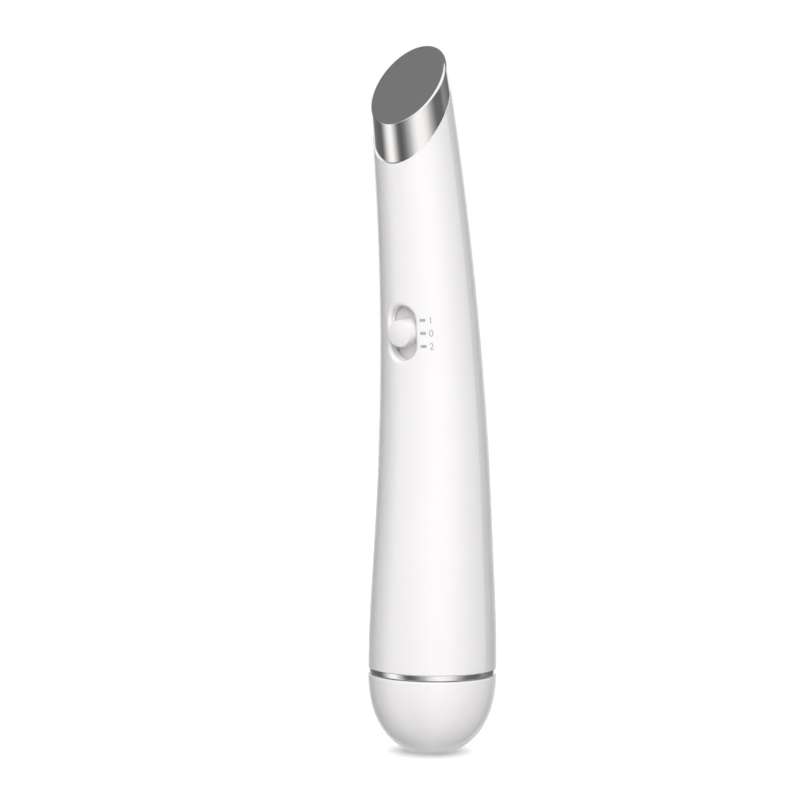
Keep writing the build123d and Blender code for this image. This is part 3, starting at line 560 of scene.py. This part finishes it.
def egg_outline(radius, depth, low):
    """Outline of the egg from its edge down to a level, as (radius, height) corners."""
    corners = []
    lowest = math.asin(min((cap_height - low) / depth, 1))
    for step in range(steps_down_egg + 1):
        drop = depth * math.sin(lowest * step / steps_down_egg)
        share = max(1 - (drop / depth) ** cap_roundness, 0) ** (1 / cap_roundness)
        corners.append((max(radius * share, 0), cap_height - drop))
    return corners


outer = egg_outline(barrel_radius, cap_full_depth, 0)
inner = egg_outline(barrel_radius - cap_wall, cap_height - cap_wall, cap_wall)
lip = [
    (barrel_radius - cap_edge * (1 - math.cos(turn)), cap_height - cap_edge * (1 - math.sin(turn)))
    for turn in (math.pi / 2 * step / steps_round_lip for step in range(steps_round_lip, 0, -1))
]
outer = lip + [corner for corner in outer if corner[1] < cap_height - cap_edge]
turned("base_cap", outer + [(0, 0)] + inner[::-1], 0, gloss_abs, "cap")
smooth_copy("cap_liner", "cap", plain_abs)
smooth_copy("spring_plate", "cap", nickel_plate)
smooth_copy("negative_spring", "cap", nickel_plate, coil_crease)

# ------------------------------------------------------------------ switch knob
# A round moulded button with a softly crowned top. It is pressed on the switch's post
# and stands on the shutter plate, which slides along with it.
knob_radius = 2.55 * MM
knob_draft = 0.05 * MM
knob_rise = 1.0 * MM
knob_round = 0.2 * MM
knob_crown = 0.3 * MM
round_rings = 8
crown_rings = 8
knob_rings = crown_rings + round_rings + 1
knob_segments = 96
# Satin ABS: the same bright white as the handle, with a softer gloss.
satin_abs = grained("satin_abs", "#F8F6F6", "#F5F3F3", 0.6, 0.004, 0.3, IOR=1.5)
knob = bmesh.new()
knob_base = body_radius(switch_station) - shutter_depth
knob_height = shutter_depth + knob_rise
bmesh.ops.create_grid(knob, x_segments=knob_segments, y_segments=knob_rings, size=1.0)
for vertex in knob.verts:
    row = round((vertex.co.y + 1) / 2 * knob_rings)
    turn = math.pi * vertex.co.x
    if row == 0:
        radius, height = knob_radius + knob_draft, 0
    elif row <= round_rings:
        lift = math.pi / 2 * row / round_rings
        radius = knob_radius - knob_round * (1 - math.cos(lift))
        height = knob_height - knob_crown - knob_round * (1 - math.sin(lift))
    else:
        share = (knob_rings - row) / (crown_rings + 1)
        radius = (knob_radius - knob_round) * share
        height = knob_height - knob_crown * share**2
    vertex.co = (radius * math.cos(turn), radius * math.sin(turn), height - knob_height / 2)
bmesh.ops.remove_doubles(knob, verts=knob.verts, dist=weld_distance)
open_edge = [edge for edge in knob.edges if edge.is_boundary]
bmesh.ops.contextual_create(knob, geom=open_edge)
bend = lean(switch_station)
outward = Vector((0, -math.cos(bend), -math.sin(bend)))
upward = Vector((0, -math.sin(bend), math.cos(bend)))
facing = Matrix((Vector((1, 0, 0)), upward, outward)).transposed().to_4x4()
facing.translation = axis_point(switch_station) + outward * (knob_base + knob_height / 2)
bmesh.ops.transform(knob, matrix=facing, verts=knob.verts)
bmesh.ops.recalc_face_normals(knob, faces=knob.faces)
shade_round(knob)
finish(mesh_object("switch_knob_piece", knob), satin_abs, "slider", "switch_knob")

# ----------------------------------------------------------------- printed marks
# Pad-printed grey dashes and plain numbers beside the slot, one for each position of
# the knob. They lie a hair above the gloss.
mark_pitch = 2.54 * MM
dash_angle = (math.radians(24.2), math.radians(30.7))
figure_angle = math.radians(33.9)
figure_height = 1.35 * MM
figure_share = 0.73
dash_height = 0.55 * MM
print_lift = 0.02 * MM
# Printing ink: flat light grey with a dull skin.
printed_grey = grained("printed_grey", "#B2B0B0", "#AAA8A8", 0.1, 0.001, 0.5, IOR=1.5)
marks = bmesh.new()
for step_up, text in ((1, "1"), (0, "0"), (-1, "2")):
    middle = switch_station + step_up * mark_pitch
    figure = bpy.data.curves.new("figure", "FONT")
    figure.body = text
    figure.size = figure_height / figure_share
    figure.resolution_u = 6
    figure_object = new_object("figure", figure)
    bpy.context.view_layer.update()
    flat = bpy.data.meshes.new_from_object(figure_object)
    bpy.data.objects.remove(figure_object)
    start = len(marks.verts)
    marks.from_mesh(flat)
    marks.verts.ensure_lookup_table()
    radius = body_radius(middle)
    for vertex in marks.verts[start:]:
        vertex.co = (
            figure_angle + vertex.co.x / radius,
            middle - figure_height / 2 + vertex.co.y,
            -print_lift,
        )
    dash = bmesh.ops.create_grid(marks, x_segments=6, y_segments=2, size=1.0)["verts"]
    for vertex in dash:
        share = (vertex.co.x + 1) / 2
        vertex.co = (
            dash_angle[0] + share * (dash_angle[1] - dash_angle[0]),
            middle + vertex.co.y * dash_height / 2,
            -print_lift,
        )
for vertex in marks.verts:
    vertex.co = on_handle(*vertex.co)
finish(mesh_object("printed_marks", marks), printed_grey, "handle")

# ------------------------------------------------------------------------- floor
# A sheet of plain white paper, lit all over apart from the soft shadow close round the
# foot: partly the foot's real shadow, partly painted shadow where its glow is turned down.
# The glow rises from there to white within a centimetre.
floor_half_size = 0.65
# The painted contact shadow: its middle, a little towards the camera, the distances over which it
# fades out, and the glow inside it and beyond it.
painted_shadow_middle = (0.6 * MM, -1.6 * MM, 0)
painted_shadow_start, painted_shadow_end = 4.5 * MM, 10.5 * MM
painted_shadow_glow, open_glow = 0.4, 0.92
floor_mesh = bmesh.new()
bmesh.ops.create_grid(floor_mesh, x_segments=1, y_segments=1, size=floor_half_size)
floor = mesh_object("floor", floor_mesh)
floor.visible_glossy = False
# White paper: matt, and to the camera alone it glows a little, so that it stays white.
paper = bare(bpy.data.materials.new("white_paper"))
matt = add_node(paper, "ShaderNodeBsdfDiffuse", Color=linear_colour("#D0D0D0"))
shadowed = add_node(paper, "ShaderNodeBsdfDiffuse", Color=linear_colour("#9A9A9A"))
spot = add_node(paper, "ShaderNodeTexCoord")
from_foot = add_node(
    paper, "ShaderNodeVectorMath", {"operation": "DISTANCE"},
    {0: spot.outputs["Object"], 1: painted_shadow_middle},
)
# Painted shadow: the glow is low close round the foot and rises to full further out.
painted_shadow_fade = add_node(
    paper, "ShaderNodeMapRange", Value=from_foot.outputs["Value"],
    From_Min=painted_shadow_start, From_Max=painted_shadow_end, To_Min=painted_shadow_glow, To_Max=open_glow,
)
glow = add_node(paper, "ShaderNodeEmission", Color=(1, 1, 1, 1), Strength=painted_shadow_fade.outputs["Result"])
lit = add_node(
    paper, "ShaderNodeAddShader", None, {0: shadowed.outputs["BSDF"], 1: glow.outputs["Emission"]},
)
seen = add_node(paper, "ShaderNodeLightPath")
choose = add_node(
    paper, "ShaderNodeMixShader", None,
    {0: seen.outputs["Is Camera Ray"], 1: matt.outputs["BSDF"], 2: lit.outputs["Shader"]},
)
add_node(paper, "ShaderNodeOutputMaterial", Surface=choose.outputs["Shader"])
floor.data.materials.append(paper)

# ------------------------------------------------------------------ room and lamps
# A pale room, white to the camera, with four soft lamps: the key lamp above the camera,
# a weak one to its left, and two behind the wand.
room_light = 0.15
lamp_distance = 1.2
lamp_height = 1.0
wand_middle = Vector((0, 0, 0.075))
world = bare(bpy.data.worlds.new("pale_room"))
bpy.context.scene.world = world
room = add_node(world, "ShaderNodeBackground", Color=(1, 1, 1, 1), Strength=room_light)
backdrop = add_node(world, "ShaderNodeBackground", Color=(1, 1, 1, 1), Strength=1.0)
seen = add_node(world, "ShaderNodeLightPath")
choose = add_node(
    world, "ShaderNodeMixShader", None,
    {
        0: seen.outputs["Is Camera Ray"],
        1: room.outputs["Background"],
        2: backdrop.outputs["Background"],
    },
)
add_node(world, "ShaderNodeOutputWorld", Surface=choose.outputs["Shader"])


def softbox(name, azimuth, elevation, width, power):
    """A rectangular lamp that looks at the middle of the wand."""
    lamp = bpy.data.lights.new(name, "AREA")
    lamp.shape = "RECTANGLE"
    lamp.size = width
    lamp.size_y = lamp_height
    lamp.energy = power
    turn, rise = math.radians(azimuth), math.radians(elevation)
    level = math.cos(rise)
    away = Vector((math.sin(turn) * level, -math.cos(turn) * level, math.sin(rise)))
    holder = new_object(name, lamp)
    holder.location = wand_middle + away * lamp_distance
    holder.rotation_mode = "QUATERNION"
    holder.rotation_quaternion = (-away).to_track_quat("-Z", "Y")
    holder.visible_glossy = False


softbox("key_softbox", azimuth=40, elevation=30, width=0.8, power=13.8)
softbox("left_fill", azimuth=-40, elevation=40, width=0.8, power=2.0)
softbox("right_rim", azimuth=165, elevation=8, width=0.4, power=2.2)
softbox("back_fill", azimuth=215, elevation=25, width=0.8, power=6.0)

# --------------------------------------------------------------- studio surround
# Glossy surfaces alone see this shell of dark flags. Low down it has a wide softbox at
# the camera, a narrow one to its left and one behind the wand. Higher up it has a broad one.
camera_azimuth = math.radians(35)
surround_radius = 1.6
blend_start, blend_end = 0.35, 0.75
# Degrees round from the camera, to its right where positive, and the brightness there.
low_bands = [
    (-180, 1.0), (-156, 0.95), (-150, 0.3), (-134, 0.15), (-112, 0.12), (-105, 0.13),
    (-97, 0.34), (-89, 0.66), (-81, 0.94), (-70, 1.0), (-61, 0.62), (-50, 0.18),
    (-44, 0.11), (-37, 0.12), (-29, 0.19), (-14, 0.48), (-7, 0.7), (0, 0.85),
    (8, 0.98), (22, 0.97), (30, 0.88), (39, 0.72), (48, 0.45), (57, 0.27),
    (66, 0.14), (88, 0.13), (103, 0.26), (132, 0.15), (143, 0.2), (149, 0.95), (180, 1.0),
]
high_bands = [
    (-180, 0.2), (-62, 0.2), (-46, 0.9), (-30, 1.0), (85, 1.0), (100, 0.5), (115, 0.2), (180, 0.2),
]
surround_mesh = bmesh.new()
bmesh.ops.create_uvsphere(surround_mesh, u_segments=96, v_segments=48, radius=surround_radius)
surround = mesh_object("studio_surround", surround_mesh)
surround.rotation_euler.z = camera_azimuth - math.pi / 2
surround.visible_camera = False
surround.visible_diffuse = False
surround.visible_transmission = False
surround.visible_shadow = False
flags = bare(bpy.data.materials.new("flags_and_softboxes"))
spot = add_node(flags, "ShaderNodeTexCoord")
round_about = add_node(
    flags, "ShaderNodeTexGradient", {"gradient_type": "RADIAL"}, Vector=spot.outputs["Object"],
)
ramps = []
for band_stops in (low_bands, high_bands):
    bands = add_node(flags, "ShaderNodeValToRGB", Fac=round_about.outputs["Fac"])
    stops = bands.color_ramp.elements
    for turn, strength in band_stops[1:-1]:
        stops.new(0.5 + turn / 360).color = (strength, strength, strength, 1)
    for stop, (turn, strength) in ((stops[0], band_stops[0]), (stops[-1], band_stops[-1])):
        stop.color = (strength, strength, strength, 1)
    ramps.append(bands.outputs["Color"])
height = add_node(flags, "ShaderNodeSeparateXYZ", Vector=spot.outputs["Object"])
rise = add_node(
    flags, "ShaderNodeMapRange", Value=height.outputs["Z"],
    From_Min=blend_start, From_Max=blend_end,
)
blend = add_node(
    flags, "ShaderNodeMix", {"data_type": "RGBA"},
    {0: rise.outputs["Result"], 6: ramps[0], 7: ramps[1]},
)
shine = add_node(flags, "ShaderNodeEmission", Color=blend.outputs[2])
add_node(flags, "ShaderNodeOutputMaterial", Surface=shine.outputs["Emission"])
surround.data.materials.append(flags)

# ------------------------------------------------------------------------ camera
# It stands in front of the wand, turned towards the side with the marks, at the height
# of the wand's upper part, and looks down a little.
camera_distance = 500 * MM
camera_height = 90.85 * MM
camera_pitch = math.radians(2.57)
camera_yaw = math.radians(-0.774)
camera_roll = math.radians(0.50)


def swing(first, second, angle):
    """Two square directions, both turned in their plane so that the first nears the second."""
    cosine, sine = math.cos(angle), math.sin(angle)
    return first * cosine + second * sine, second * cosine - first * sine


ahead = Vector((-math.sin(camera_azimuth), math.cos(camera_azimuth), 0))
right = Vector((math.cos(camera_azimuth), math.sin(camera_azimuth), 0))
above = Vector((0, 0, 1))
stand = Vector((0, 0, camera_height)) - ahead * camera_distance
ahead, right = swing(ahead, right, camera_yaw)
ahead, above = swing(ahead, above, -camera_pitch)
right, above = swing(right, above, camera_roll)
camera_data = bpy.data.cameras.new("camera")
camera_data.lens = 116.0
camera_data.sensor_width = 36.0
camera_data.clip_start = 0.01
camera = new_object("camera", camera_data)
camera.matrix_world = (
    Matrix.Translation(stand) @ Matrix((right, above, -ahead)).transposed().to_4x4()
)
bpy.context.scene.camera = camera
bpy.context.scene.view_settings.view_transform = "Standard"
